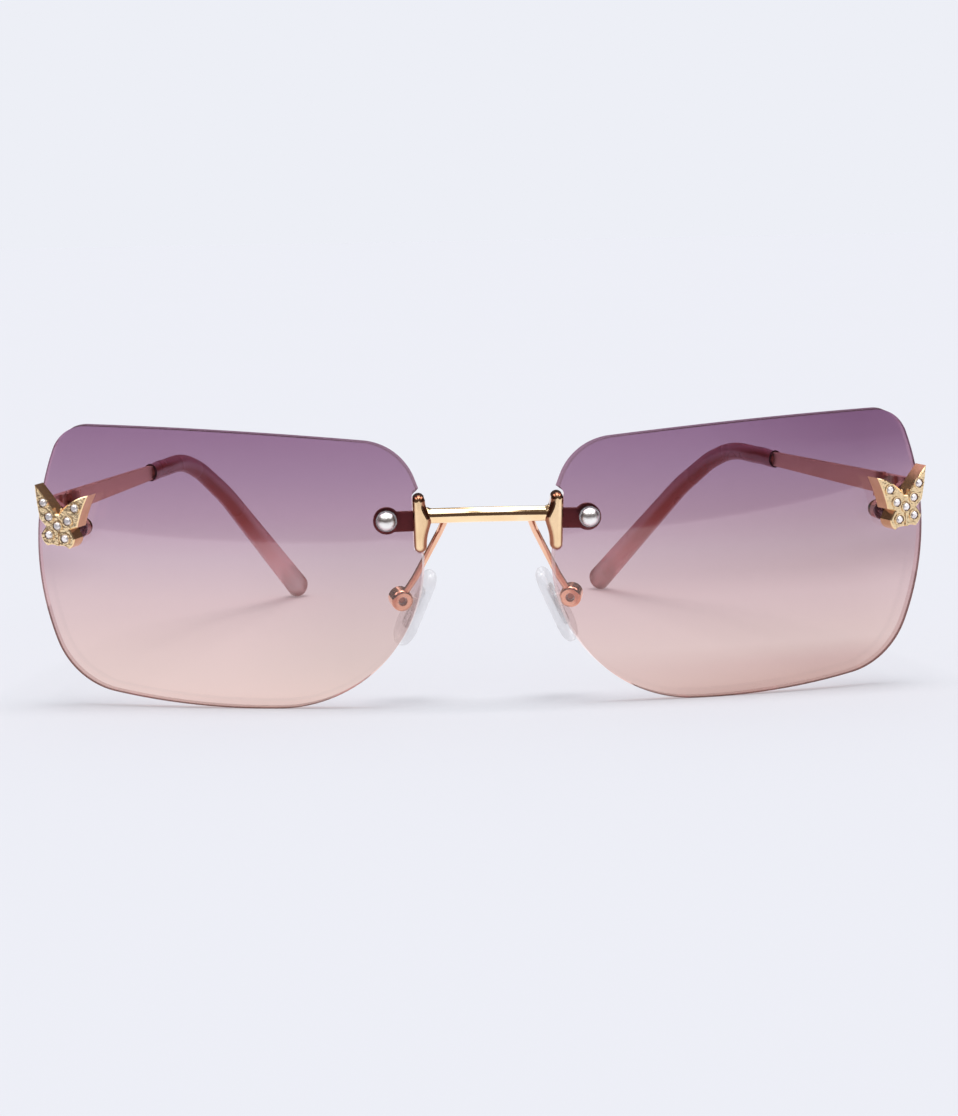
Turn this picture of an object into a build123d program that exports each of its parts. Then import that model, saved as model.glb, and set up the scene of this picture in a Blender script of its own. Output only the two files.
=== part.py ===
"""Frameless butterfly sunglasses.

Millimetres and degrees. +Z is up, the front faces -Y, and the temples run to +Y.
Every paired piece is drawn on the +X side (the wearer's left) and mirrored to -X.
Lens places are given as u, outward from the nose edge, and w, up from the lens centre.
"""
import os
from math import asin, cos, degrees, hypot, radians, sin, sqrt

from build123d import *

os.makedirs("parts", exist_ok=True)

# Running and seating clearances
shaft_gap = 0.03
seat_gap = 0.05
overrun = 1.0

# Lens blank
lens_thickness = 2.0
lens_curve_radius = 132.5
lens_wrap = 12.6
lens_tilt = 6.0
nose_half_gap = 11.0
lens_width = 62.4
lens_side_radius = 46.0
lens_side_middle = 2.4
lens_nasal_radius = 23.9
lens_nasal_inset = 0.2
lens_nasal_top = 1.6
lens_nasal_middle_angle = 45
lens_bottom_radius = 145.0
lens_top_outer = 23.05
lens_bottom_outer = -18.6
lens_top_inner_inset = 3.4
lens_top_inner = 19.6
lens_top_bulge = 0.95
lens_shoulder_inset = 0.85
corner_radius_inner = 9.5
corner_radius_top = 6.0
corner_radius_bottom = 12.0

# Notch in the nose edge of the lens, and the edge plate that sits in it
plate_height = 9.1
plate_width = 2.0
plate_proud = 0.8
plate_out = 0.6
plate_middle = 7.35
plate_lean = 1.6
plate_round = 0.8
plate_swell = 0.8
notch_top_gap = 0.65
notch_bottom_gap = 0.15

# Bridge bar
bar_radius = 1.18
bar_above_plate_middle = 1.0
bar_rise = 0.2
bar_bow = 0.8
bar_flare_radius = 1.4
bar_flare_length = 0.6

# Lens fastening at the bridge
bridge_hole_out = 5.43
bridge_hole_up = 8.02
lug_eyelet_radius = 2.1
lug_eyelet_drop = 0.35
lug_height = 3.1
lug_drop = 0.55
lug_thickness = 1.2
lug_gap = 0.15
screw_radius = 0.7
bushing_radius = 1.0
bushing_flange_radius = 1.65
bushing_flange = 0.3
dome_radius = 1.4
dome_rim = 0.25
dome_height = 1.15
nut_radius = 1.5
nut_height = 1.2
nut_sides = 6
screw_end = 0.3

# Nose pad, its box and its wire
pad_box_out = 13.6
pad_box_back = 8.1
pad_box_height = 16.75
pad_splay = 13.0
pad_lean = 23.6
pad_pitch = 12.0
box_radius = 1.75
box_length = 2.6
box_round = 0.45
tang_width = 1.1
tang_radius = 1.1
tang_side_gap = 0.06
box_window_gap = 0.12
box_window_half_height = 1.5
pad_screw_radius = 0.5
pad_screw_head_radius = 0.9
pad_screw_head = 0.5
pad_screw_slot_width = 0.25
pad_screw_slot_depth = 0.25
pad_screw_recess = 0.75
pad_screw_mouth_radius = 0.75
pad_length = 13.2
pad_bottom_radius = 3.6
pad_top_radius = 2.7
pad_thickness = 1.7
pad_round = 0.75
pad_clearance = 0.2
pad_drop = 0.45
core_thickness = 0.35
core_width = 3.0
core_length = 7.0
core_depth = 0.45
wire_radius = 0.55
wire_foot_out = 6.4
wire_shoulder_out = 7.5
wire_shoulder_drop = 2.7
wire_shoulder_back = 2.4
wire_knee_drop = 3.6
wire_knee_in = 2.2
wire_knee_forward = 2.2
wire_bend_radius = 2.2

# Butterfly ornament
butterfly_inset = 5.2
butterfly_up = 7.65
butterfly_width = 9.1
butterfly_height = 10.0
butterfly_thickness = 3.0
butterfly_bevel = 0.18
stone_radius = 0.7
stone_sides = 8
stone_table_share = 0.55
stone_culet_share = 0.12
stone_crown = 0.3
stone_depth = 0.5
stone_seat_depth = 0.65
bezel_radius = 0.96
bezel_height = 0.16
rib_width = 0.5
rib_height = 0.2
rib_low_share = -0.31
antenna_radius = 0.14
antenna_length = 1.3
antenna_spread = 17.0
antenna_depth = 0.5
antenna_root_share = 0.16

# Butterfly stud and the endpiece that it clamps
stud_in = 1.0
stud_down = 1.1
stud_radius = 0.7
stud_root = 0.8
endpiece_gap = 0.3
endpiece_thickness = 1.2
endpiece_flange = 0.25
endpiece_eyelet_radius = 1.5
cap_radius = 1.45
cap_skirt = 0.6
cap_height = 1.7
cap_end_wall = 0.4

# Side hinge
temple_convergence = 12.8
hinge_height = 32.15
hinge_behind_lens = 4.9
hinge_inside_lens_edge = 4.58
knuckle_radius = 1.15
knuckle_height = 1.1
knuckle_gap = 0.05
knuckle_web = 0.7
leaf_length = 2.6
leaf_thickness = 0.5
leaf_clearance = 0.15
butt_gap = 0.1
hinge_screw_radius = 0.55
hinge_head_radius = 1.0
hinge_head_height = 0.45
hinge_slot_width = 0.3
hinge_slot_depth = 0.2

# Temple strip, its core wire and the tip sleeve
strip_thickness = 1.1
strip_height_hinge = 3.4
strip_height_tip = 2.4
strip_length = 50.9
strip_tail = 0.8
temple_rise = 0.3
ear_run = 76.9
bend_run = 19.0
bend_turn = 9.6
bend_drop = 27.0
tip_drop = 32.4
ear_bend_radius = 38.0
tip_bend_radius = 60.0
core_wire_radius = 0.8
core_wire_share = 0.62
tip_neck_height = 3.15
tip_neck_width = 2.5
tip_end_height = 4.8
tip_end_width = 4.1
tip_bend_share = 0.24
tip_sections = 20
tip_round_angles = (0, 25, 50, 70, 82)
tip_recess = 1.0
tip_wall = 0.32
tip_round = 1.6

# Frames on the lens
lens_middle = lens_width / 2
lowest_out = lens_nasal_inset + lens_nasal_radius
lens_drop = lens_nasal_radius - lens_nasal_top
lowest_sag = ((lowest_out - lens_middle) ** 2 + lens_drop ** 2) / (2 * lens_curve_radius)
lens_centre_height = lens_drop * cos(radians(lens_tilt)) - lowest_sag * sin(radians(lens_tilt))
lens_frame = Pos(nose_half_gap, 0, lens_centre_height) * Rot(0, 0, lens_wrap) * Rot(lens_tilt, 0, 0)
lens_ball = Pos(lens_middle, lens_curve_radius, 0)


def lens_sag(u, w):
    """Depth of the lens front behind its foremost point."""
    return lens_curve_radius - sqrt(lens_curve_radius ** 2 - (u - lens_middle) ** 2 - w ** 2)


def lens_spot(u, w):
    """Frame on the lens front at u, w: x outward, y straight into the lens, z up."""
    lean = asin(w / lens_curve_radius)
    swing = asin((u - lens_middle) / (lens_curve_radius * cos(lean)))
    turn = Rot(0, 0, degrees(swing)) * Rot(-degrees(lean), 0, 0)
    return lens_frame * lens_ball * turn * Pos(0, -lens_curve_radius, 0)


def disc(radius, start, stop):
    """Cylinder along y from start to stop."""
    return Pos(0, (start + stop) / 2, 0) * Rot(90, 0, 0) * Cylinder(radius, abs(stop - start))


def block(x_low, x_high, y_low, y_high, z_low, z_high):
    """Box between two corners."""
    middle = Pos((x_low + x_high) / 2, (y_low + y_high) / 2, (z_low + z_high) / 2)
    return middle * Box(x_high - x_low, y_high - y_low, z_high - z_low)


def plate(face, start, stop):
    """Face drawn in x and z, made a plate from y = start to y = stop."""
    return Pos(0, stop, 0) * extrude(Plane.XZ * face, amount=stop - start)


# Lens
def make_lens():
    side_middle_out = lens_width - lens_side_radius
    top_reach = sqrt(lens_side_radius ** 2 - (lens_top_outer - lens_side_middle) ** 2)
    low_reach = sqrt(lens_side_radius ** 2 - (lens_bottom_outer - lens_side_middle) ** 2)
    lowest = (lowest_out, -lens_drop)
    nasal_top = (lens_nasal_inset, lens_nasal_top)
    shoulder = (lens_shoulder_inset, plate_middle + plate_height / 2 + notch_top_gap)
    top_inner = (lens_top_inner_inset, lens_top_inner)
    top_outer = (side_middle_out + top_reach, lens_top_outer)
    low_outer = (side_middle_out + low_reach, lens_bottom_outer)
    nasal_mid = (
        lowest_out - lens_nasal_radius * cos(radians(lens_nasal_middle_angle)),
        lens_nasal_top - lens_nasal_radius * sin(radians(lens_nasal_middle_angle)),
    )
    top_mid = (
        (top_inner[0] + top_outer[0]) / 2,
        (top_inner[1] + top_outer[1]) / 2 + lens_top_bulge,
    )
    edges = [
        Line(nasal_top, shoulder),
        Line(shoulder, top_inner),
        ThreePointArc(top_inner, top_mid, top_outer),
        ThreePointArc(top_outer, (lens_width, lens_side_middle), low_outer),
        RadiusArc(low_outer, lowest, lens_bottom_radius),
        ThreePointArc(lowest, nasal_mid, nasal_top),
    ]
    outline = make_face(edges)
    for corner, radius in (
        (top_inner, corner_radius_inner),
        (top_outer, corner_radius_top),
        (low_outer, corner_radius_bottom),
    ):
        nearest = outline.vertices().sort_by_distance((corner[0], corner[1], 0))[0]
        outline = fillet(nearest, radius)
    depth = lens_sag(0, lens_drop) + plate_depth
    blank = plate(outline, -overrun, depth)
    shell = lens_ball * (Sphere(lens_curve_radius) - Sphere(lens_curve_radius - lens_thickness))
    lens = lens_frame * (blank & shell)
    hole = disc(bushing_radius + shaft_gap, -overrun, lens_thickness + overrun)
    lens -= bridge_spot * hole
    lens -= stud_spot * hole
    return lens - make_notch()


def make_notch():
    """Room for the edge plate, open to the nose edge."""
    height = notch_bottom_gap + plate_height + notch_top_gap
    width = plate_width + 2 * seat_gap
    outline = SlotOverall(height, width, rotation=90)
    outline += Pos(-lens_width / 2, 0) * Rectangle(lens_width, height)
    rise = (notch_top_gap - notch_bottom_gap) / 2
    return plate_frame * Pos(0, 0, rise) * plate(outline, -plate_depth, plate_depth)


# Bridge
def make_edge_plate():
    """Upright bar with round ends, swollen towards the bridge bar."""
    half = plate_width / 2
    straight = plate_height / 2 - half
    outline = make_face([
        Spline(
            (-half, straight), (-half - plate_swell, bar_above_plate_middle), (-half, -straight),
            tangents=[(0, -1), (0, -1)],
        ),
        ThreePointArc((-half, -straight), (0, -plate_height / 2), (half, -straight)),
        Line((half, -straight), (half, straight)),
        ThreePointArc((half, straight), (0, plate_height / 2), (-half, straight)),
    ])
    solid = plate(outline, -plate_depth / 2, plate_depth / 2)
    ends = solid.faces().sort_by(Axis.Y)
    solid = fillet(ends[0].edges() + ends[-1].edges(), plate_round)
    return plate_frame * solid


def make_bridge_bar(left_plate):
    start = plate_frame * Pos(0, 0, bar_above_plate_middle)
    end = start.position
    path = ThreePointArc(
        (-end.X, end.Y, end.Z),
        (0, end.Y - bar_bow, end.Z + bar_rise),
        (end.X, end.Y, end.Z),
    )
    bar = sweep(Plane(origin=path @ 0, z_dir=path % 0) * Circle(bar_radius), path=path)
    flare_start = plate_width / 2 + plate_swell / 2
    foot = Plane(origin=end, z_dir=path % 1 * -1)
    flare = foot * Pos(0, 0, flare_start + bar_flare_length / 2)
    cone = flare * Cone(bar_flare_radius, bar_radius - seat_gap, bar_flare_length)
    root = foot * Pos(0, 0, flare_start / 2) * Cylinder(bar_flare_radius, flare_start)
    side = cone + root
    bar = bar + side + mirror(side, about=Plane.YZ)
    return bar - left_plate - mirror(left_plate, about=Plane.YZ)


def make_lens_lug(left_plate):
    start = lens_thickness + lug_gap
    stop = start + lug_thickness
    arm_length = bridge_hole_out - plate_out + plate_width / 2
    outline = Pos(0, -lug_eyelet_drop) * Circle(lug_eyelet_radius)
    outline += Pos(-arm_length / 2, -lug_drop) * Rectangle(arm_length, lug_height)
    lug = plate(outline, start, stop) - disc(screw_radius + shaft_gap, start - overrun, stop + overrun)
    return bridge_spot * lug - left_plate


def make_bridge_bushing():
    sleeve = disc(bushing_radius, -bushing_flange, lens_thickness - seat_gap)
    sleeve += disc(bushing_flange_radius, -bushing_flange, 0)
    sleeve -= disc(screw_radius + shaft_gap, -overrun, lens_thickness + overrun)
    return bridge_spot * sleeve


def dome(radius, rim, height):
    """Round cap that points along -y from its flat seat at y = 0."""
    rise = height - rim
    ball = (radius ** 2 + rise ** 2) / (2 * rise)
    cap = Pos(0, ball - height, 0) * Sphere(ball)
    return cap & disc(radius, -height - overrun, 0)


def make_bridge_screw():
    head = Pos(0, -bushing_flange, 0) * dome(dome_radius, dome_rim, dome_height)
    end = lens_thickness + lug_gap + lug_thickness + nut_height + screw_end
    shank = disc(screw_radius, -bushing_flange - dome_rim, end)
    return bridge_spot * (head + shank)


def make_bridge_nut():
    start = lens_thickness + lug_gap + lug_thickness
    stop = start + nut_height
    nut = plate(RegularPolygon(nut_radius, nut_sides), start, stop)
    nut -= disc(screw_radius + shaft_gap, start - overrun, stop + overrun)
    return bridge_spot * nut


# Nose pads
def make_pad_arm(bar, box):
    foot = (plate_frame * Pos(0, 0, bar_above_plate_middle)).position
    hub = pad_frame.position
    knee = Vector(hub.X - wire_knee_in, hub.Y - wire_knee_forward, hub.Z + wire_knee_drop)
    points = [
        (wire_foot_out, foot.Y, foot.Z),
        (wire_shoulder_out, foot.Y + wire_shoulder_back, foot.Z - wire_shoulder_drop),
        (knee.X, knee.Y, knee.Z),
        (hub.X, hub.Y, hub.Z),
    ]
    path = FilletPolyline(*points, radius=wire_bend_radius)
    wire = sweep(Plane(origin=path @ 0, z_dir=path % 0) * Circle(wire_radius), path=path)
    half = box_length / 2
    return wire - bar - pad_frame * disc(box_radius, -half - overrun, half + overrun)


def make_pad_box():
    half = box_length / 2
    box = disc(box_radius, -half, half)
    box = fillet(box.edges().filter_by(GeomType.CIRCLE).sort_by(Axis.Y)[0], box_round)
    slot = tang_width / 2 + tang_side_gap
    window = block(-box_radius - overrun, 0, -slot, slot, -box_window_half_height, box_window_half_height)
    box -= window + disc(tang_radius + box_window_gap, -slot, slot)
    box -= disc(pad_screw_radius + shaft_gap, -half - overrun, half + overrun)
    box -= disc(pad_screw_mouth_radius, -half - overrun, -half + pad_screw_recess)
    return pad_frame * box


def make_pad_screw():
    half = box_length / 2
    shank = disc(pad_screw_radius, -half + pad_screw_recess, half)
    head = disc(pad_screw_head_radius, half, half + pad_screw_head)
    top = half + pad_screw_head
    slot = block(
        -pad_screw_head_radius, pad_screw_head_radius,
        top - pad_screw_slot_depth, top + overrun,
        -pad_screw_slot_width / 2, pad_screw_slot_width / 2,
    )
    return pad_frame * (shank + head - slot)


def make_pad_core():
    outer_face = -box_radius - pad_clearance
    inner = outer_face - core_depth
    sheet = block(
        inner - core_thickness, inner,
        -core_width / 2, core_width / 2,
        -core_length / 2 - pad_drop, core_length / 2 - pad_drop,
    )
    sheet = fillet(sheet.edges().filter_by(Axis.X), core_width / 4)
    tang = disc(tang_radius, -tang_width / 2, tang_width / 2)
    tang += block(inner, 0, -tang_width / 2, tang_width / 2, -tang_radius, tang_radius)
    hole = disc(pad_screw_radius + shaft_gap, -tang_width, tang_width)
    return pad_frame * (sheet + tang - hole)


def make_nose_pad(core):
    outer_face = -box_radius - pad_clearance
    top = pad_length / 2 - pad_top_radius - pad_drop
    low = -pad_length / 2 + pad_bottom_radius - pad_drop
    upper = Pos(0, top) * Circle(pad_top_radius)
    lower = Pos(0, low) * Circle(pad_bottom_radius)
    outline = make_hull(upper.edges() + lower.edges())
    slab = extrude(Plane.YZ * outline, amount=pad_thickness)
    slab = Pos(outer_face - pad_thickness, 0, 0) * slab
    ends = slab.faces().sort_by(Axis.X)
    slab = fillet(ends[0].edges() + ends[-1].edges(), pad_round)
    return pad_frame * slab - core


# Butterfly ornament
wing_shares = [
    (0.423, 0.640, 0.010), (0.345, 0.100, 0.000), (0.225, -0.015, 0.000), (0.325, -0.140, 0.030),
    (0.207, -0.320, -0.015), (0.045, -0.310, 0.000), (-0.065, -0.315, -0.015), (-0.209, -0.360, 0.030),
    (-0.327, -0.200, 0.000), (-0.242, -0.053, 0.000), (-0.385, -0.013, -0.020), (-0.611, 0.503, 0.060),
    (-0.030, 0.190, 0.000), (0.030, 0.190, 0.012),
]
stone_shares = [
    (0.0, 0.0), (-0.345, 0.297), (-0.200, 0.085), (0.262, 0.365),
    (0.160, 0.141), (-0.140, -0.196), (0.168, -0.145),
]


def wing_face():
    """Outline of the butterfly: corner shares, each with the bulge share of the edge after it."""
    corners = [(x * butterfly_width, z * butterfly_height, b * butterfly_width) for x, z, b in wing_shares]
    edges = []
    for here, ahead in zip(corners, corners[1:] + corners[:1]):
        start = Vector(here[0], here[1])
        stop = Vector(ahead[0], ahead[1])
        if here[2] == 0:
            edges.append(Line(start, stop))
        else:
            along = (stop - start).normalized()
            out = Vector(-along.Y, along.X)
            edges.append(ThreePointArc(start, (start + stop) / 2 + out * here[2], stop))
    return make_face(edges)


def stone_places():
    return [Pos(x * butterfly_width, -butterfly_thickness, z * butterfly_height) for x, z in stone_shares]


def make_butterfly():
    outline = wing_face()
    face = -butterfly_thickness
    body = plate(outline, face + butterfly_bevel, -seat_gap)
    body += Pos(0, face + butterfly_bevel, 0) * extrude(Plane.XZ * outline, amount=butterfly_bevel, taper=45)
    for place in stone_places():
        body += place * disc(bezel_radius, -bezel_height, bezel_height)
    low = rib_low_share * butterfly_height
    body += block(-rib_width / 2, rib_width / 2, face - rib_height, face + rib_height, low, -bezel_radius)
    for side in (-1, 1):
        lean = Rot(0, side * antenna_spread, 0)
        root = Pos(side * rib_width / 2, face + antenna_depth, antenna_root_share * butterfly_height)
        body += root * lean * Pos(0, 0, antenna_length / 2) * Cylinder(antenna_radius, antenna_length)
    for place in stone_places():
        body -= place * disc(stone_radius + shaft_gap, -bezel_height - overrun, stone_seat_depth)
    body = butterfly_spot * body
    end = lens_thickness + endpiece_gap + endpiece_thickness + cap_height - cap_end_wall - seat_gap
    return body + stud_spot * disc(stud_radius, -stud_root, end)


def make_crystals():
    girdle = RegularPolygon(stone_radius, stone_sides)
    half_side = 180 / stone_sides
    table = RegularPolygon(stone_radius * stone_table_share, stone_sides, rotation=half_side)
    culet = RegularPolygon(stone_radius * stone_culet_share, stone_sides)
    up = Rot(90, 0, 0)
    stones = []
    for place in stone_places():
        crown = loft([up * girdle, up * Pos(0, 0, stone_crown) * table])
        base = loft([up * girdle, up * Pos(0, 0, -stone_depth) * culet])
        stones.append(butterfly_spot * place * (crown + base))
    return Compound(stones)


# Endpiece and its fastening
def make_endpiece():
    """Eyelet plate behind the lens, bent back into the tongue that the front leaf is fixed to."""
    start = lens_thickness + endpiece_gap
    stop = start + endpiece_thickness
    half = strip_height_hinge / 2
    inner = knuckle_radius + leaf_clearance
    outer = inner + strip_thickness
    tongue_face = hinge_frame * Pos(outer, 0, 0)
    straight_back = Plane(hinge_frame).y_dir
    spot = Plane(stud_spot)
    depth = (tongue_face.position - spot.origin).dot(spot.y_dir)
    slope = straight_back.dot(spot.y_dir)
    corner = tongue_face.position - straight_back * ((depth - start) / slope) - spot.origin
    reach = corner.dot(spot.x_dir)
    rise = corner.dot(spot.z_dir)
    arm = Polygon(
        (0, -endpiece_eyelet_radius), (reach, rise - half), (reach, rise + half), (0, endpiece_eyelet_radius),
        align=None,
    )
    bracket = plate(Circle(endpiece_eyelet_radius) + arm, start, stop)
    bracket -= disc(stud_radius + shaft_gap, start - overrun, stop + overrun)
    bracket = stud_spot * bracket
    front = -2 * hinge_behind_lens
    tongue = hinge_frame * block(inner, outer, front, -butt_gap, -half, half)
    behind = block(-lens_width, lens_width, start, start + lens_width, -lens_width, lens_width)
    beside = hinge_frame * block(outer, outer + strip_thickness, 2 * front, 0, -lens_width, lens_width)
    return bracket - beside + (tongue & (stud_spot * behind))


def make_endpiece_bushing():
    stop = lens_thickness + endpiece_flange
    sleeve = disc(bushing_radius, seat_gap, stop)
    sleeve += disc(bushing_flange_radius, lens_thickness + seat_gap, stop)
    sleeve -= disc(stud_radius + shaft_gap, -overrun, stop + overrun)
    return stud_spot * sleeve


def make_cap_nut():
    start = lens_thickness + endpiece_gap + endpiece_thickness
    cap = Pos(0, start, 0) * Rot(0, 0, 180) * dome(cap_radius, cap_skirt, cap_height)
    cap -= disc(stud_radius + shaft_gap, start - overrun, start + cap_height - cap_end_wall)
    return stud_spot * cap


# Side hinge
def hinge_leaf(levels, side):
    """Leaf and its knuckles; side is -1 for the front leaf and 1 for the temple leaf."""
    outer = knuckle_radius + leaf_clearance
    reach = knuckle_radius + leaf_clearance
    half = hinge_half_height
    y_low, y_high = sorted((side * reach, side * (reach + leaf_length)))
    leaf = block(outer - leaf_thickness, outer, y_low, y_high, -half, half)
    for level in levels:
        z_low = level * (knuckle_height + knuckle_gap) - knuckle_height / 2
        barrel = Pos(0, 0, z_low + knuckle_height / 2) * Cylinder(knuckle_radius, knuckle_height)
        web_low, web_high = sorted((0, side * (reach + leaf_thickness)))
        web = block(knuckle_radius - knuckle_web, knuckle_radius, web_low, web_high, z_low, z_low + knuckle_height)
        leaf += barrel + web
    bore = Cylinder(hinge_screw_radius + shaft_gap, 4 * knuckle_height)
    return hinge_frame * (leaf - bore)


def make_hinge_screw():
    half = hinge_half_height
    shank = Cylinder(hinge_screw_radius, 2 * half)
    head = Pos(0, 0, half + hinge_head_height / 2) * Cylinder(hinge_head_radius, hinge_head_height)
    top = half + hinge_head_height
    slot = block(
        -hinge_head_radius, hinge_head_radius,
        -hinge_slot_width / 2, hinge_slot_width / 2,
        top - hinge_slot_depth, top + overrun,
    )
    return hinge_frame * (shank + head - slot)


# Temple
def heading(run, plan, slope):
    """Run of given length, plan degrees inward from straight back and slope degrees up."""
    flat = run * cos(radians(slope))
    return Vector(-flat * sin(radians(plan)), flat * cos(radians(plan)), run * sin(radians(slope)))


def temple_path():
    """Centre line from the hinge butt over the ear to the table."""
    inner = knuckle_radius + leaf_clearance
    start = (hinge_frame * Pos(inner + strip_thickness / 2, 0, 0)).position
    ear = start + heading(ear_run, temple_convergence, temple_rise)
    behind = ear + heading(bend_run, temple_convergence + bend_turn, -bend_drop)
    low = sin(radians(tip_drop))
    end_height = hypot(tip_round * low, tip_end_height / 2 * cos(radians(tip_drop))) - tip_round * low
    end = behind + heading((behind.Z - end_height) / low, temple_convergence + bend_turn, -tip_drop)
    return FilletPolyline(start, ear, behind, end, radius=[ear_bend_radius, tip_bend_radius])


def cross_plane(path, distance):
    """Plane across the path, x level and y upright."""
    share = distance / path.length
    along = path % share
    level = along.cross(Vector(0, 0, 1)).normalized()
    return Plane(origin=path @ share, x_dir=level, z_dir=along)


def strip_section(path, distance, height):
    return cross_plane(path, distance) * Rectangle(strip_thickness, height)


def make_temple(path):
    strip = loft([
        strip_section(path, butt_gap, strip_height_hinge),
        strip_section(path, strip_length + strip_tail, strip_height_tip),
    ])
    share = core_wire_share + (1 - core_wire_share) * strip_length / path.length
    core_end = path.length * share
    core_path = path.trim(strip_length / path.length, core_end / path.length)
    core = sweep(cross_plane(path, strip_length) * Circle(core_wire_radius), path=core_path)
    return strip + core


def tip_section(path, distance, height, width):
    return cross_plane(path, distance) * Ellipse(width / 2, height / 2)


def make_temple_tip(path, temple):
    length = path.length - strip_length - tip_round
    sections = []
    for step in range(tip_sections + 1):
        share = step / tip_sections
        grown = max(0, (share - tip_bend_share) / (1 - tip_bend_share))
        height = tip_neck_height + (tip_end_height - tip_neck_height) * grown
        width = tip_neck_width + (tip_end_width - tip_neck_width) * grown
        sections.append(tip_section(path, strip_length + share * length, height, width))
    sleeve = loft(sections)
    rounded = []
    for angle in tip_round_angles:
        scale = cos(radians(angle))
        distance = strip_length + length + tip_round * sin(radians(angle))
        rounded.append(tip_section(path, distance, tip_end_height * scale, tip_end_width * scale))
    sleeve += loft(rounded)
    mouth = cross_plane(path, strip_length) * Pos(0, 0, -overrun)
    recess = mouth * Ellipse(tip_neck_width / 2 - tip_wall, tip_neck_height / 2 - tip_wall)
    return sleeve - extrude(recess, amount=overrun + tip_recess) - temple


# Assembly
bridge_spot = lens_spot(bridge_hole_out, bridge_hole_up)
butterfly_out = lens_width - butterfly_inset
butterfly_spot = lens_spot(butterfly_out, butterfly_up)
stud_spot = lens_spot(butterfly_out - stud_in, butterfly_up - stud_down)
plate_depth = lens_thickness + 2 * plate_proud
plate_back = lens_sag(plate_out, plate_middle) + lens_thickness / 2
plate_spot = lens_frame * Pos(plate_out, plate_back, plate_middle)
plate_frame = Pos(plate_spot.position) * Rot(0, plate_lean, 0) * Rot(lens_tilt, 0, 0)
pad_back = plate_frame.position.Y + pad_box_back
pad_turn = Rot(0, 0, -pad_splay) * Rot(pad_pitch, 0, 0) * Rot(0, -pad_lean, 0)
pad_frame = Pos(pad_box_out, pad_back, pad_box_height) * pad_turn
lens_back_edge = lens_spot(lens_width, lens_side_middle) * Pos(0, lens_thickness, 0)
hinge_frame = Pos(
    lens_back_edge.position.X - hinge_inside_lens_edge,
    lens_back_edge.position.Y + hinge_behind_lens,
    hinge_height,
) * Rot(0, 0, temple_convergence)
hinge_half_height = 3 * knuckle_height / 2 + knuckle_gap

edge_plate = make_edge_plate()
bridge_bar = make_bridge_bar(edge_plate)
pad_box = make_pad_box()
pad_core = make_pad_core()
path = temple_path()
temple = make_temple(path)

paired = {
    "lens": make_lens(),
    "edge_plate": edge_plate,
    "lens_lug": make_lens_lug(edge_plate),
    "bridge_bushing": make_bridge_bushing(),
    "bridge_screw": make_bridge_screw(),
    "bridge_nut": make_bridge_nut(),
    "pad_arm": make_pad_arm(bridge_bar, pad_box),
    "pad_box": pad_box,
    "pad_screw": make_pad_screw(),
    "pad_core": pad_core,
    "nose_pad": make_nose_pad(pad_core),
    "butterfly": make_butterfly(),
    "crystals": make_crystals(),
    "endpiece": make_endpiece(),
    "endpiece_bushing": make_endpiece_bushing(),
    "cap_nut": make_cap_nut(),
    "hinge_front_leaf": hinge_leaf((-1, 1), -1),
    "hinge_temple_leaf": hinge_leaf((0,), 1),
    "hinge_screw": make_hinge_screw(),
    "temple": temple,
    "temple_tip": make_temple_tip(path, temple),
}

nodes = {"bridge_bar": bridge_bar}
for name, solid in paired.items():
    nodes["left_" + name] = solid
    nodes["right_" + name] = mirror(solid, about=Plane.YZ)

whole = Compound(list(nodes.values())).bounding_box()
centring = Pos(0, -(whole.min.Y + whole.max.Y) / 2, 0)
for name, solid in nodes.items():
    export_step(centring * solid, "parts/" + name + ".step")
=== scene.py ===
"""Looks of the butterfly sunglasses: materials, studio, camera. Metres, in the model's frame."""

import bpy
from mathutils import Matrix, Vector

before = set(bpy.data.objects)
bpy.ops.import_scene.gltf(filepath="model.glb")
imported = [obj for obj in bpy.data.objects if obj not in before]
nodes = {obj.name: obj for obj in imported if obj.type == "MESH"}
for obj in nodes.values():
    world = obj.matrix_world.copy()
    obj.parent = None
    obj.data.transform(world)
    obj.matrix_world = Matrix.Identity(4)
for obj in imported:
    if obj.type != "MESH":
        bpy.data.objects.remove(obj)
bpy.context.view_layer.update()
scene = bpy.context.scene
MM = 0.001

# Directions and places of paired pieces are the left one's, on the +X side; the right mirrors it
WAYS = {"left": 1, "right": -1}

# Room, table and backdrop. Colours here and below are linear
BACKGROUND = (0.847, 0.863, 0.922)
AMBIENT = (0.55, 0.56, 0.585)
DARK_ROOM = (0.10, 0.07, 0.06)
DIM_ROOM = (0.20, 0.165, 0.13)
SOFTBOX = (3.4, 3.3, 3.2)
BRIGHT_TABLE = (1.15, 1.12, 1.12)
WHITE = (1.0, 1.0, 1.0)

# Floor: its paper, and the table edge that polished pieces mirror
FLOOR_SIZE = 12.0
FLOOR_TONE = (0.767, 0.769, 0.811)
FLOOR_GLOW = 0.30
PAPER_GRAIN = 6.0
PAPER_SHADE = 0.997
TABLE_SLANT = 0.137
TABLE_END = (-0.186, -0.180)
TABLE_GAP_FRONT = (-0.120, -0.100)
TABLE_GAP_BACK = (-0.035, -0.050)
TABLE_GAP_ACROSS = (0.11, 0.14)

# Room above the table, by the height and the side of the view into it
ROOM_DARK_TO = 0.52
ROOM_DIM_FROM = 0.60
SOFTBOX_FROM = (0.56, 0.62)
SOFTBOX_SOFTNESS = 0.015
SOFTBOXES = ((-0.20, -0.03), (0.02, 0.17), (0.42, 0.72), (-0.75, -0.45))

# Lamps: strength and the way the light goes
SUN_ANGLE = 0.45
SUNS = {
    "key": (0.9, (0.10, 0.14, -0.95)),
    "fill": (0.9, (-0.17, 0.10, -0.95)),
}

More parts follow.
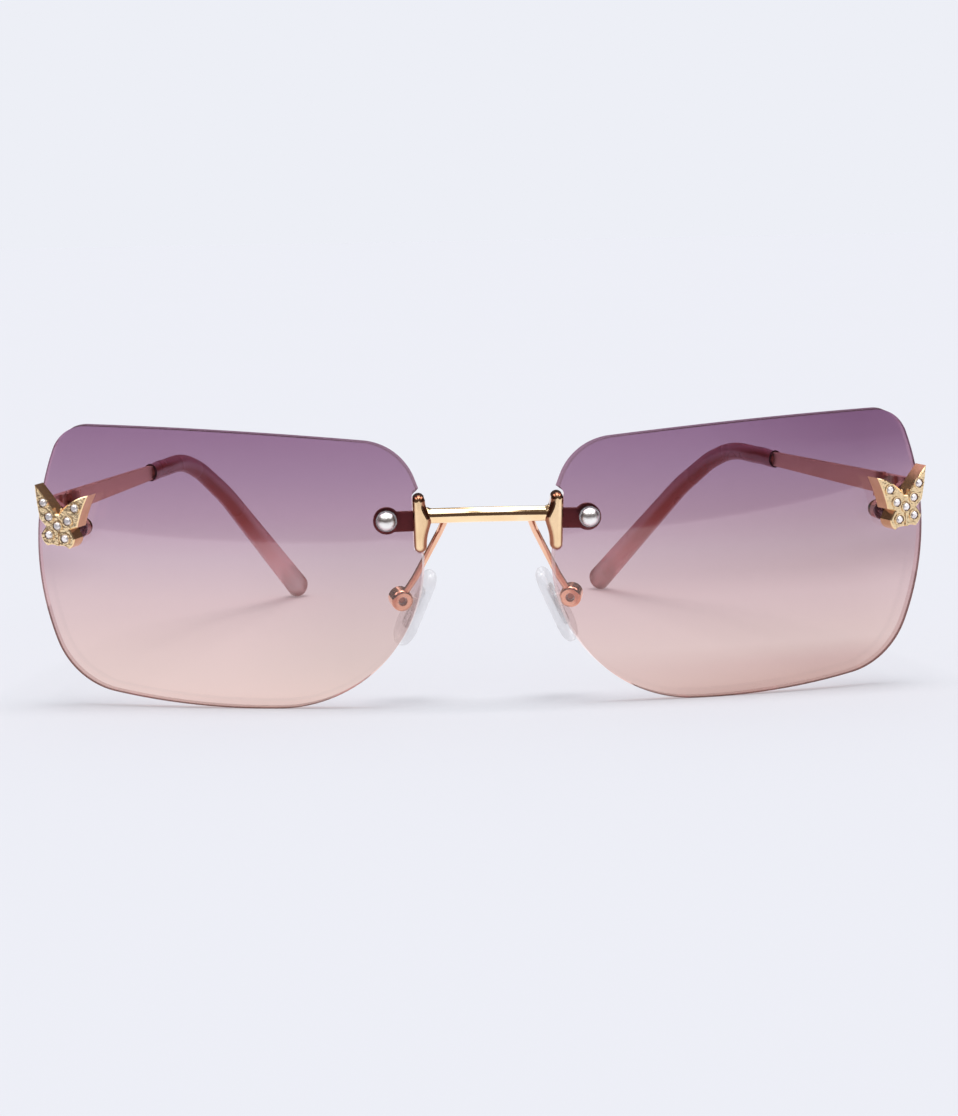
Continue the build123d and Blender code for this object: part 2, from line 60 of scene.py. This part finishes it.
# Camera at the photograph's place
CAMERA_LENS = 95.59
CAMERA_SENSOR = 36.0
CAMERA_RIGHT = (0.99827, -0.05637, -0.01714)
CAMERA_UP = (0.02359, 0.11731, 0.99281)
CAMERA_BACK = (-0.05398, -0.99150, 0.11840)
CAMERA_PLACE = (-0.02651, -0.53096, 0.07894)
CAMERA_CLIP = (0.01, 100.0)

# Metals: colour, duller colour, roughness, and the share of metal in the plating
PLATE_GOLD = ((0.88, 0.67, 0.44), (0.78, 0.57, 0.35), 0.10, 1.0)
METALS = {
    "polished_gold": ((0.94, 0.73, 0.48), (0.86, 0.64, 0.39), 0.10, 1.0),
    "rose_gold": ((0.82, 0.52, 0.38), (0.74, 0.44, 0.31), 0.18, 1.0),
    "rose_satin": ((0.79, 0.49, 0.41), (0.73, 0.44, 0.36), 0.42, 1.0),
    # The pad screw's rose gold, darkened as painted shade inside the pad box's hole
    "rose_deep": ((0.46, 0.24, 0.19), (0.38, 0.19, 0.15), 0.40, 1.0),
    "lug_red": ((0.68, 0.32, 0.27), (0.58, 0.25, 0.21), 0.32, 1.0),
    # The cap nut is painted near black, painted shade for the shadow it sits in behind the lens
    "cap_dark": ((0.22, 0.08, 0.07), (0.17, 0.06, 0.05), 0.20, 1.0),
    "endpiece_rose": ((0.74, 0.45, 0.40), (0.68, 0.40, 0.35), 0.50, 0.5),
    "polished_silver": ((0.86, 0.86, 0.88), (0.78, 0.78, 0.80), 0.34, 1.0),
    "turned_steel": ((0.60, 0.57, 0.55), (0.50, 0.47, 0.45), 0.28, 1.0),
    "core_bright": ((0.94, 0.94, 0.95), (0.90, 0.90, 0.91), 0.40, 0.4),
}
METAL_CLOUD = 320.0
METAL_MARKS = 3600.0
METAL_MARK_DEPTH = 0.00002
METAL_MARK_STRENGTH = 0.08
METAL_ROUGH_SHARES = (0.7, 1.4)
# Painted dark reflection on the edge plates' sides: its tone, and how far the surface faces front
# before it fades out
METAL_PAINTED_SIDE_REFLECTION = (0.30, 0.12, 0.07)
METAL_SIDE_REFLECTION_FACING = (0.80, 0.985)

# Clear plastics: tint, least mirror share, cloudiness, colour of the cloud, mirror share edge on
CLEARS = {
    "pad_clear": ((0.985, 0.985, 0.99), 0.07, 0.10, WHITE, 0.35),
    "bushing_clear": ((0.93, 0.93, 0.94), 0.045, 0.25, (0.9, 0.9, 0.92), 1.0),
}
CLEAR_WAVES = 260.0
CLEAR_DULL_SHARE = 0.96
CLEAR_CLOUD_SHARES = (0.7, 1.3)
CLEAR_CLOUD_ROUGH = 0.35
CLEAR_GLOSS_ROUGH = (0.04, 0.09)

# Lens: its place, the way it faces and its tint by height, from the table up
LENS_HEIGHT = 46 * MM
LENS_RADIUS = 132.5 * MM
LENS_BALL = (0.0127030, 0.0605384, 0.0358118)
LENS_FRONT = (0.217, -0.970, -0.105)
LENS_TONES = [
    (0.04, (0.972, 0.852, 0.802)),
    (0.14, (0.946, 0.828, 0.788)),
    (0.24, (0.926, 0.806, 0.778)),
    (0.39, (0.884, 0.765, 0.762)),
    (0.53, (0.816, 0.704, 0.735)),
    (0.67, (0.735, 0.600, 0.675)),
    (0.81, (0.665, 0.528, 0.630)),
    (1.00, (0.590, 0.440, 0.565)),
]

# Factors on that tint by height, and how far they apply by the distance out from the middle. On the
# left lens the darker band at mid height is painted shade, the shadow near the temple tip seen
# through the lens; its bottom is darker and pinker and its top a little deeper. The right lens is
# darker towards the middle below two thirds of its height.
LENS_TINT_AND_SHADE = {
    "left": [
        (0.00, (0.80, 0.72, 0.70)),
        (0.11, (0.87, 0.82, 0.82)),
        (0.18, (0.95, 0.95, 0.95)),
        (0.36, (0.95, 0.94, 0.945)),
        (0.45, (0.88, 0.86, 0.86)),
        (0.62, (0.88, 0.86, 0.86)),
        (0.85, (0.93, 0.92, 0.94)),
    ],
    "right": [
        (0.00, (0.99, 0.99, 0.98)),
        (0.18, (0.955, 0.965, 0.960)),
        (0.55, (0.96, 0.965, 0.96)),
        (0.68, WHITE),
    ],
}
LENS_TINT_AND_SHADE_OUT_LEFT = (6 * MM, 54 * MM, 0.10, 0.85)
LENS_TINT_AND_SHADE_END_LEFT = (60 * MM, 71 * MM, 1.0, 0.45)
LENS_TINT_AND_SHADE_OUT_RIGHT = (40 * MM, 22 * MM)
LENS_CORNER_TONE = (0.90, 0.86, 0.89)
LENS_CORNER_OUT = (34 * MM, 60 * MM)
LENS_CORNER_UP = (0.78, 0.90)

# Lens edge: where the surface turns into it, its tones by height, and its front rim
LENS_EDGE_FACING = (0.75, 0.45)
LENS_EDGE_TONES = [(0.0, (0.86, 0.66, 0.60)), (1.0, (0.66, 0.50, 0.60))]
LENS_RIM_TONES = [
    (0.0, (0.24, 0.10, 0.08)),
    (0.5, (0.22, 0.10, 0.10)),
    (1.0, (0.20, 0.11, 0.16)),
]
LENS_RIM_DEPTH = (0.50 * MM, 0.90 * MM)
LENS_RIM_OUT = (17 * MM, 28 * MM, 0.25, 1.0)
LENS_COAT = (1.0, 0.96, 0.98)
LENS_HAZE = 90.0
LENS_ROUGH = (0.01, 0.03)
LENS_SHINE = 0.045

# Butterfly: hammered face, polished walls
BUTTERFLY_FRONT = (0.405, -0.913, -0.044)
BUTTERFLY_FACE_FACING = (0.55, 0.85)
# Face tones for each side; the right face is painted paler than the left, a painted highlight for
# the light it mirrors
BUTTERFLY_FACES_AND_HIGHLIGHT = {
    "left": ((0.86, 0.69, 0.44), (0.80, 0.61, 0.37)),
    "right": ((0.98, 0.80, 0.52), (0.92, 0.71, 0.44)),
}
BUTTERFLY_WALLS = ((0.80, 0.54, 0.30), (0.70, 0.45, 0.23))
BUTTERFLY_CLOUD = 500.0
BUTTERFLY_MARKS = 1300.0
BUTTERFLY_METAL = 0.85
BUTTERFLY_ROUGH = (0.10, 0.17)
BUTTERFLY_MARK_STRENGTHS = (0.03, 0.55)
BUTTERFLY_MARK_DEPTH = 0.00016

# Stones
STONE_SPARKLE = 2600.0
STONE_TONES = [
    (0.34, (0.66, 0.58, 0.60)),
    (0.47, (0.96, 0.95, 0.98)),
    (0.66, (1.0, 0.93, 0.91)),
]
STONE_FOIL = 0.40
STONE_ROUGH = 0.06
STONE_IOR = 1.7
STONE_COAT_ROUGH = 0.02

# Sleeves: core and skin by the distance back, with pale, middle and see-through tones for each
# side; the sides differ as painted light and shade on a matched pair
SLEEVE_LENGTH = 75 * MM
SLEEVE_SIDE_TONES_AND_SHADE = {
    "left": ((0.800, 0.430, 0.405), (0.590, 0.200, 0.165), (0.93, 0.66, 0.68)),
    "right": ((0.980, 0.740, 0.740), (0.760, 0.370, 0.350), (0.98, 0.80, 0.82)),
}
SLEEVE_CORE = [
    (0.00, (0.240, 0.034, 0.040)),
    (0.30, (0.290, 0.036, 0.022)),
    (0.60, (0.390, 0.052, 0.026)),
]
SLEEVE_MIDDLE_AT = 0.76
SLEEVE_PALE_AT = 0.90
SLEEVE_SKIN = [
    (0.00, (0.400, 0.170, 0.230)),
    (0.60, (0.540, 0.260, 0.290)),
    (0.92, (0.720, 0.400, 0.420)),
]
SLEEVE_UP = (0.0, 0.0, 1.0)
SLEEVE_ASIDE = (0.853, 0.0, -0.522)
SLEEVE_MOUTH_WAY = (0.0, -1.0, 0.0)
SLEEVE_BEND = (0.02, 0.26)
SLEEVE_SKIN_FROM = (0.45, 0.97)
SLEEVE_CLOUD = 60.0
SLEEVE_CLOUD_TONE = (0.62, 0.33, 0.34)
SLEEVE_CLOUD_SHARE = 0.06
# Painted shade: dark red on the end's rim and along the lowest edge near the table, and how clear
# it leaves the sleeve there
SLEEVE_RIM_SHADE_ACROSS = (0.10, 0.60, 0.40, 0.95)
SLEEVE_RIM_SHADE_FROM = (0.905, 0.930)
SLEEVE_LOW_SHADE = (2.2 * MM, 0.7 * MM)
SLEEVE_END_SHADE_TONE = (0.30, 0.07, 0.07)
# Painted shade in the sleeve's mouth, where it faces forward
SLEEVE_MOUTH_SHADE_FACING = (0.70, 0.85)
SLEEVE_MOUTH_SHADE_TONE = (0.045, 0.018, 0.030)
SLEEVE_ROUGH = (0.22, 0.34)
SLEEVE_IOR = 1.48
SLEEVE_SCATTER = {
    "Subsurface_Weight": 0.35,
    "Subsurface_Scale": 0.002,
    "Subsurface_Radius": (1.0, 0.45, 0.45),
}
SLEEVE_CLEARNESS = (0.62, 0.86, 0.02, 0.50)
SLEEVE_END_SHADE_CLEARNESS = 0.3

# Noises: the part of their range over which one value turns into the other, and their grain
MID = (0.3, 0.7)
WIDE = (0.25, 0.75)
WIDER = (0.2, 0.8)
FINE_DETAIL = 3.0
FINEST_DETAIL = 4.0
MARK_ROUGHNESS = 0.6

# How fast a clear surface turns mirror-like towards its edges
GRAZING_POWER = 5.0

# Finish of each kind of piece; lenses, butterflies, sleeves and edge plates have one for each side
FINISHES = {
    "bridge_bar": "polished_gold",
    "lens_lug": "lug_red",
    "bridge_screw": "polished_silver",
    "bridge_bushing": "bushing_clear",
    "bridge_nut": "turned_steel",
    "pad_arm": "rose_gold",
    "pad_box": "rose_gold",
    "pad_screw": "rose_deep",
    "pad_core": "core_bright",
    "nose_pad": "pad_clear",
    "crystals": "crystal",
    "endpiece": "endpiece_rose",
    "endpiece_bushing": "bushing_clear",
    "cap_nut": "cap_dark",
    "hinge_front_leaf": "rose_satin",
    "hinge_temple_leaf": "rose_satin",
    "hinge_screw": "rose_satin",
    "temple": "rose_satin",
}


def mirrored_way(direction, side):
    """A left piece's direction or place, taken to the given side."""
    return (WAYS[side] * direction[0], *direction[1:])


class Tree:
    """A material's or world's node tree, with short calls for what this scene needs."""

    def __init__(self, owner):
        owner.use_nodes = True
        self.tree = owner.node_tree
        self.tree.nodes.clear()

    def node(self, kind, **values):
        made = self.tree.nodes.new(kind)
        for key, value in values.items():
            setattr(made, key, value)
        return made

    def put(self, socket, value):
        if isinstance(value, bpy.types.NodeSocket):
            self.tree.links.new(value, socket)
        elif hasattr(socket, "default_value"):
            if isinstance(value, tuple) and len(value) == 3 and len(socket.default_value) == 4:
                value = (*value, 1.0)
            socket.default_value = value

    def put_all(self, made, *values):
        for socket, value in zip(made.inputs, values):
            self.put(socket, value)

    def math(self, operation, a, b=0.0, clamp=False):
        made = self.node("ShaderNodeMath", operation=operation, use_clamp=clamp)
        self.put_all(made, a, b)
        return made.outputs[0]

    def product(self, a, b):
        return self.math("MULTIPLY", a, b)

    def place(self):
        return self.node("ShaderNodeTexCoord").outputs["Object"]

    def axis(self, name, vector=None):
        split = self.node("ShaderNodeSeparateXYZ")
        self.put(split.inputs[0], vector or self.place())
        return split.outputs[name]

    def spread(self, value, low, high, to_low=0.0, to_high=1.0):
        made = self.node("ShaderNodeMapRange", clamp=True)
        names = ("Value", "From Min", "From Max", "To Min", "To Max")
        for name, number in zip(names, (value, low, high, to_low, to_high)):
            self.put(made.inputs[name], number)
        return made.outputs[0]

    def noise(self, scale, detail=2.0, rough=0.5):
        made = self.node("ShaderNodeTexNoise")
        self.put(made.inputs["Vector"], self.place())
        self.put(made.inputs["Scale"], scale)
        self.put(made.inputs["Detail"], detail)
        self.put(made.inputs["Roughness"], rough)
        return made.outputs["Fac"]

    def ramp(self, value, stops):
        made = self.node("ShaderNodeValToRGB")
        band = made.color_ramp
        while len(band.elements) < len(stops):
            band.elements.new(stops[-1][0])
        for element, (at, colour) in zip(band.elements, stops):
            element.position = at
            element.color = (*colour, 1.0)
        self.put(made.inputs[0], value)
        return made.outputs["Color"]

    def mix(self, amount, a, b, blend="MIX"):
        made = self.node("ShaderNodeMix", data_type="RGBA", blend_type=blend)
        sockets = [socket for socket in made.inputs if socket.enabled]
        for socket, value in zip(sockets, (amount, a, b)):
            self.put(socket, value)
        return next(socket for socket in made.outputs if socket.enabled)

    def deepen(self, amount, tone, factor):
        """The tone, multiplied by the factor where the amount is 1."""
        return self.mix(amount, tone, self.mix(1.0, tone, factor, "MULTIPLY"))

    def vector(self, operation, a, b):
        made = self.node("ShaderNodeVectorMath", operation=operation)
        self.put_all(made, a, b)
        return made.outputs["Value"]

    def facing(self, direction):
        """How far the surface faces along a direction of its own piece, from -1 to 1."""
        normal = self.node("ShaderNodeTexCoord").outputs["Normal"]
        return self.vector("DOT_PRODUCT", normal, direction)

    def aligned(self, direction):
        """The same, whichever of the two opposite ways the surface faces."""
        return self.math("ABSOLUTE", self.facing(direction))

    def shine(self, least):
        """Share of light mirrored by a clear surface: least straight on, all of it edge on."""
        weight = self.node("ShaderNodeLayerWeight")
        self.put(weight.inputs["Blend"], 0.5)
        grazing = self.math("POWER", weight.outputs["Facing"], GRAZING_POWER)
        return self.math("ADD", self.product(grazing, 1.0 - least), least, clamp=True)

    def bump(self, height, strength, distance):
        made = self.node("ShaderNodeBump")
        self.put(made.inputs["Strength"], strength)
        self.put(made.inputs["Distance"], distance)
        self.put(made.inputs["Height"], height)
        return made.outputs["Normal"]

    def principled(self, **values):
        made = self.node("ShaderNodeBsdfPrincipled")
        for key, value in values.items():
            self.put(made.inputs[key.replace("_", " ")], value)
        return made.outputs[0]

    def glossy(self, colour, rough):
        made = self.node("ShaderNodeBsdfGlossy")
        self.put(made.inputs["Color"], colour)
        self.put(made.inputs["Roughness"], rough)
        return made.outputs[0]

    def coloured(self, kind, colour):
        """A shader that takes only a colour, such as a see-through, matt or glowing one."""
        made = self.node(kind)
        self.put(made.inputs["Color"], colour)
        return made.outputs[0]

    def mix_shader(self, amount, a, b):
        made = self.node("ShaderNodeMixShader")
        self.put_all(made, amount, a, b)
        return made.outputs[0]

    def finish(self, shader, kind="ShaderNodeOutputMaterial"):
        self.put(self.node(kind).inputs["Surface"], shader)


def new_material(name):
    made = bpy.data.materials.new(name)
    return made, Tree(made)


def metal(name, recipe, front=None):
    """Polished plated metal with fine polish marks; with a front given, the sides take a painted
    dark reflection.
    """
    colour, duller, rough, plated = recipe
    made, t = new_material(name)
    tone = t.mix(t.spread(t.noise(METAL_CLOUD, FINE_DETAIL), *MID), colour, duller)
    if front:
        # painted dark reflection on the sides, away from the front
        tone = t.mix(t.spread(t.facing(front), *METAL_SIDE_REFLECTION_FACING), METAL_PAINTED_SIDE_REFLECTION, tone)
    marks = t.noise(METAL_MARKS, FINEST_DETAIL, MARK_ROUGHNESS)
    shader = t.principled(
        Base_Color=tone,
        Metallic=plated,
        Roughness=t.spread(marks, *WIDE, *(rough * share for share in METAL_ROUGH_SHARES)),
        Normal=t.bump(marks, METAL_MARK_STRENGTH, METAL_MARK_DEPTH),
    )
    t.finish(shader)
    return made


def clear(name, recipe):
    """Clear moulded plastic: tinted, mirror-like by angle, with a trace of cloud inside."""
    tint, shine, cloud, cloud_colour, edge_share = recipe
    made, t = new_material(name)
    waves = t.noise(CLEAR_WAVES)
    dull_tint = tuple(part * CLEAR_DULL_SHARE for part in tint)
    through = t.coloured("ShaderNodeBsdfTransparent", t.mix(t.spread(waves, *MID), tint, dull_tint))
    body = t.principled(Base_Color=cloud_colour, Roughness=CLEAR_CLOUD_ROUGH)
    cloudiness = t.spread(waves, *WIDE, *(cloud * share for share in CLEAR_CLOUD_SHARES))
    inner = t.mix_shader(cloudiness, through, body)
    gloss = t.glossy(WHITE, t.spread(waves, *WIDER, *CLEAR_GLOSS_ROUGH))
    t.finish(t.mix_shader(t.product(t.shine(shine), edge_share), inner, gloss))
    return made


def lens_tint_and_shade_amount(t, side, outward):
    """How far the lens takes its deeper tint and painted shade, by the distance out from the
    glasses' middle.
    """
    if side == "left":
        rising = t.spread(outward, *LENS_TINT_AND_SHADE_OUT_LEFT)
        return t.product(rising, t.spread(outward, *LENS_TINT_AND_SHADE_END_LEFT))
    return t.spread(outward, *LENS_TINT_AND_SHADE_OUT_RIGHT)


def lens_edge(t, side, height, outward):
    """Tone of the lens's edge wall, darker at the front rim."""
    from_centre = t.vector("DISTANCE", t.place(), mirrored_way(LENS_BALL, side))
    inside = t.math("SUBTRACT", LENS_RADIUS, from_centre)
    rim = t.spread(inside, *LENS_RIM_DEPTH, t.spread(outward, *LENS_RIM_OUT), 0.0)
    return t.mix(rim, t.ramp(height, LENS_EDGE_TONES), t.ramp(height, LENS_RIM_TONES))


def lens_tint(side):
    """Lens: purple at the top through mauve to peach below, with a darker polished edge; the left
    lens also carries painted shade at mid height where shadow is seen through it.
    """
    made, t = new_material("lens_tint_" + side)
    height = t.spread(t.axis("Z"), 0.0, LENS_HEIGHT)
    outward = t.product(t.axis("X"), WAYS[side])
    tone = t.ramp(height, LENS_TONES)
    if side == "left":
        corner = t.product(t.spread(outward, *LENS_CORNER_OUT), t.spread(height, *LENS_CORNER_UP))
        tone = t.deepen(corner, tone, LENS_CORNER_TONE)
    # Deeper tint, with painted shade at mid height on the left lens
    tone = t.deepen(lens_tint_and_shade_amount(t, side, outward), tone, t.ramp(height, LENS_TINT_AND_SHADE[side]))
    edge = t.spread(t.aligned(mirrored_way(LENS_FRONT, side)), *LENS_EDGE_FACING)
    tone = t.mix(edge, tone, lens_edge(t, side, height, outward))
    through = t.coloured("ShaderNodeBsdfTransparent", tone)
    gloss = t.glossy(LENS_COAT, t.spread(t.noise(LENS_HAZE, FINE_DETAIL), *MID, *LENS_ROUGH))
    t.finish(t.mix_shader(t.shine(LENS_SHINE), through, gloss))
    return made


def butterfly_gold(side):
    """Pale hammered face, with polished copper-gold walls; the right face is painted paler than the
    left, a painted highlight.
    """
    made, t = new_material("butterfly_gold_" + side)
    face = t.spread(t.facing(mirrored_way(BUTTERFLY_FRONT, side)), *BUTTERFLY_FACE_FACING)
    cloud = t.spread(t.noise(BUTTERFLY_CLOUD, FINE_DETAIL), *MID)
    tone = t.mix(face, t.mix(cloud, *BUTTERFLY_WALLS), t.mix(cloud, *BUTTERFLY_FACES_AND_HIGHLIGHT[side]))
    marks = t.noise(BUTTERFLY_MARKS, rough=MARK_ROUGHNESS)
    depth = t.spread(face, 0.0, 1.0, *BUTTERFLY_MARK_STRENGTHS)
    shader = t.principled(
        Base_Color=tone,
        Metallic=BUTTERFLY_METAL,
        Roughness=t.spread(face, 0.0, 1.0, *BUTTERFLY_ROUGH),
        Normal=t.bump(marks, depth, BUTTERFLY_MARK_DEPTH),
    )
    t.finish(shader)
    return made


def crystal():
    """Foiled clear stone with small bright and dull facets."""
    made, t = new_material("crystal")
    shader = t.principled(
        Base_Color=t.ramp(t.noise(STONE_SPARKLE), STONE_TONES),
        Metallic=STONE_FOIL,
        Roughness=STONE_ROUGH,
        IOR=STONE_IOR,
        Coat_Weight=1.0,
        Coat_Roughness=STONE_COAT_ROUGH,
    )
    t.finish(shader)
    return made


def sleeve_across(t, side, along):
    """How far the surface faces across the sleeve: up or down at its front, slantwise behind."""
    bent = t.spread(along, *SLEEVE_BEND)
    straight = t.math("SUBTRACT", 1.0, bent)
    before = t.product(t.aligned(SLEEVE_UP), straight)
    behind = t.product(t.aligned(mirrored_way(SLEEVE_ASIDE, side)), bent)
    return t.math("ADD", behind, before)


def tip_pink(side):
    """Translucent tip: dark rose round the core wire, clearer and pinker towards the end, with
    painted shade on the end's rim, along its lowest edge and where its mouth faces forward.
    """
    made, t = new_material("tip_pink_" + side)
    # This side's tones, which carry painted light and shade
    pale, middle, veil = SLEEVE_SIDE_TONES_AND_SHADE[side]
    along = t.spread(t.axis("Y"), 0.0, SLEEVE_LENGTH)
    across = sleeve_across(t, side, along)
    core = t.ramp(along, [*SLEEVE_CORE, (SLEEVE_MIDDLE_AT, middle), (SLEEVE_PALE_AT, pale)])
    tone = t.mix(t.spread(across, *SLEEVE_SKIN_FROM), core, t.ramp(along, SLEEVE_SKIN))
    cloud = t.noise(SLEEVE_CLOUD)
    tone = t.mix(t.spread(cloud, *MID, 0.0, SLEEVE_CLOUD_SHARE), tone, SLEEVE_CLOUD_TONE)
    # painted shade on the end's rim and along the lowest edge, near the table
    rim = t.product(t.spread(across, *SLEEVE_RIM_SHADE_ACROSS), t.spread(along, *SLEEVE_RIM_SHADE_FROM))
    end = t.math("MAXIMUM", rim, t.spread(t.axis("Z"), *SLEEVE_LOW_SHADE))
    tone = t.mix(end, tone, SLEEVE_END_SHADE_TONE)
    # painted shade in the recess of the mouth
    mouth = t.spread(t.facing(SLEEVE_MOUTH_WAY), *SLEEVE_MOUTH_SHADE_FACING)
    tone = t.mix(mouth, tone, SLEEVE_MOUTH_SHADE_TONE)
    shader = t.principled(
        Base_Color=tone,
        Roughness=t.spread(cloud, *WIDER, *SLEEVE_ROUGH),
        IOR=SLEEVE_IOR,
        **SLEEVE_SCATTER,
    )
    through = t.coloured("ShaderNodeBsdfTransparent", veil)
    end_share = t.spread(end, 0.0, 1.0, 1.0, SLEEVE_END_SHADE_CLEARNESS)
    clearness = t.product(t.spread(along, *SLEEVE_CLEARNESS), end_share)
    t.finish(t.mix_shader(clearness, shader, through))
    return made


def make_finishes():
    """Every material by its name; the pieces that differ by side go by the piece's own name."""
    made = {"crystal": crystal()}
    for name, recipe in METALS.items():
        made[name] = metal(name, recipe)
    for name, recipe in CLEARS.items():
        made[name] = clear(name, recipe)
    for side in WAYS:
        made[side + "_lens"] = lens_tint(side)
        made[side + "_butterfly"] = butterfly_gold(side)
        made[side + "_temple_tip"] = tip_pink(side)
        front = mirrored_way(LENS_FRONT, side)
        made[side + "_edge_plate"] = metal("plate_gold_" + side, PLATE_GOLD, front)
    return made


def dress(node, material):
    for slot in node.material_slots:
        slot.material = material
    if not node.material_slots:
        node.data.materials.append(material)


finishes = make_finishes()
for name, node in nodes.items():
    plain = name.replace("left_", "").replace("right_", "")
    dress(node, finishes.get(name) or finishes[FINISHES[plain]])


def table_mirrored(t):
    """What polished pieces see of the table: bright, dark beyond its edge and at its sides."""
    across = t.axis("X")
    depth = t.axis("Y")
    gap = t.product(t.spread(depth, *TABLE_GAP_FRONT), t.spread(depth, *TABLE_GAP_BACK))
    beside = t.product(t.spread(t.math("ABSOLUTE", across), *TABLE_GAP_ACROSS), gap)
    lit = t.mix(beside, BRIGHT_TABLE, DARK_ROOM)
    edge = t.math("ADD", depth, t.product(across, TABLE_SLANT))
    return t.coloured("ShaderNodeEmission", t.mix(t.spread(edge, *TABLE_END), DARK_ROOM, lit))


def floor_paper():
    made, t = new_material("floor_paper")
    worn = tuple(part * PAPER_SHADE for part in FLOOR_TONE)
    paper = t.mix(t.spread(t.noise(PAPER_GRAIN, FINE_DETAIL), *MID), FLOOR_TONE, worn)
    shade = t.coloured("ShaderNodeBsdfDiffuse", paper)
    glow = t.coloured("ShaderNodeEmission", BACKGROUND)
    seen = t.mix_shader(FLOOR_GLOW, shade, glow)
    path = t.node("ShaderNodeLightPath")
    t.finish(t.mix_shader(path.outputs["Is Glossy Ray"], seen, table_mirrored(t)))
    return made


bpy.ops.mesh.primitive_plane_add(size=FLOOR_SIZE, location=(0, 0, 0))
floor = bpy.context.object
floor.name = "floor"
floor.data.materials.append(floor_paper())


def room_tone(t):
    """What polished pieces see of the room: dark low down, dim above, bright softboxes overhead."""
    sky = t.node("ShaderNodeTexCoord").outputs["Generated"]
    up = t.axis("Z", sky)
    across = t.axis("X", sky)
    room = t.ramp(up, [(ROOM_DARK_TO, DARK_ROOM), (ROOM_DIM_FROM, DIM_ROOM)])
    overhead = t.spread(up, *SOFTBOX_FROM)
    soft = SOFTBOX_SOFTNESS
    for low, high in SOFTBOXES:
        past_low = t.spread(across, low - soft, low + soft)
        before_high = t.spread(across, high + soft, high - soft)
        panel = t.product(past_low, before_high)
        room = t.mix(t.product(overhead, panel), room, SOFTBOX)
    return room


def studio_world():
    made = bpy.data.worlds.new("studio")
    t = Tree(made)
    path = t.node("ShaderNodeLightPath")
    tone = t.mix(path.outputs["Is Glossy Ray"], AMBIENT, room_tone(t))
    for seen_straight in ("Is Camera Ray", "Is Transmission Ray"):
        tone = t.mix(path.outputs[seen_straight], tone, BACKGROUND)
    t.finish(t.coloured("ShaderNodeBackground", tone), "ShaderNodeOutputWorld")
    return made


scene.world = studio_world()


def soft_sun(name, strength, towards):
    light = bpy.data.lights.new(name, "SUN")
    light.energy = strength
    light.angle = SUN_ANGLE
    lamp = bpy.data.objects.new(name, light)
    scene.collection.objects.link(lamp)
    lamp.rotation_mode = "QUATERNION"
    lamp.rotation_quaternion = Vector(towards).to_track_quat("-Z", "Y")


for name, (strength, towards) in SUNS.items():
    soft_sun(name, strength, towards)

camera_data = bpy.data.cameras.new("camera")
camera_data.lens = CAMERA_LENS
camera_data.sensor_width = CAMERA_SENSOR
camera_data.clip_start, camera_data.clip_end = CAMERA_CLIP
camera = bpy.data.objects.new("camera", camera_data)
scene.collection.objects.link(camera)
scene.camera = camera
rows = zip(CAMERA_RIGHT, CAMERA_UP, CAMERA_BACK, CAMERA_PLACE)
camera.matrix_world = Matrix([*rows, (0, 0, 0, 1)])
scene.view_settings.view_transform = "Standard"
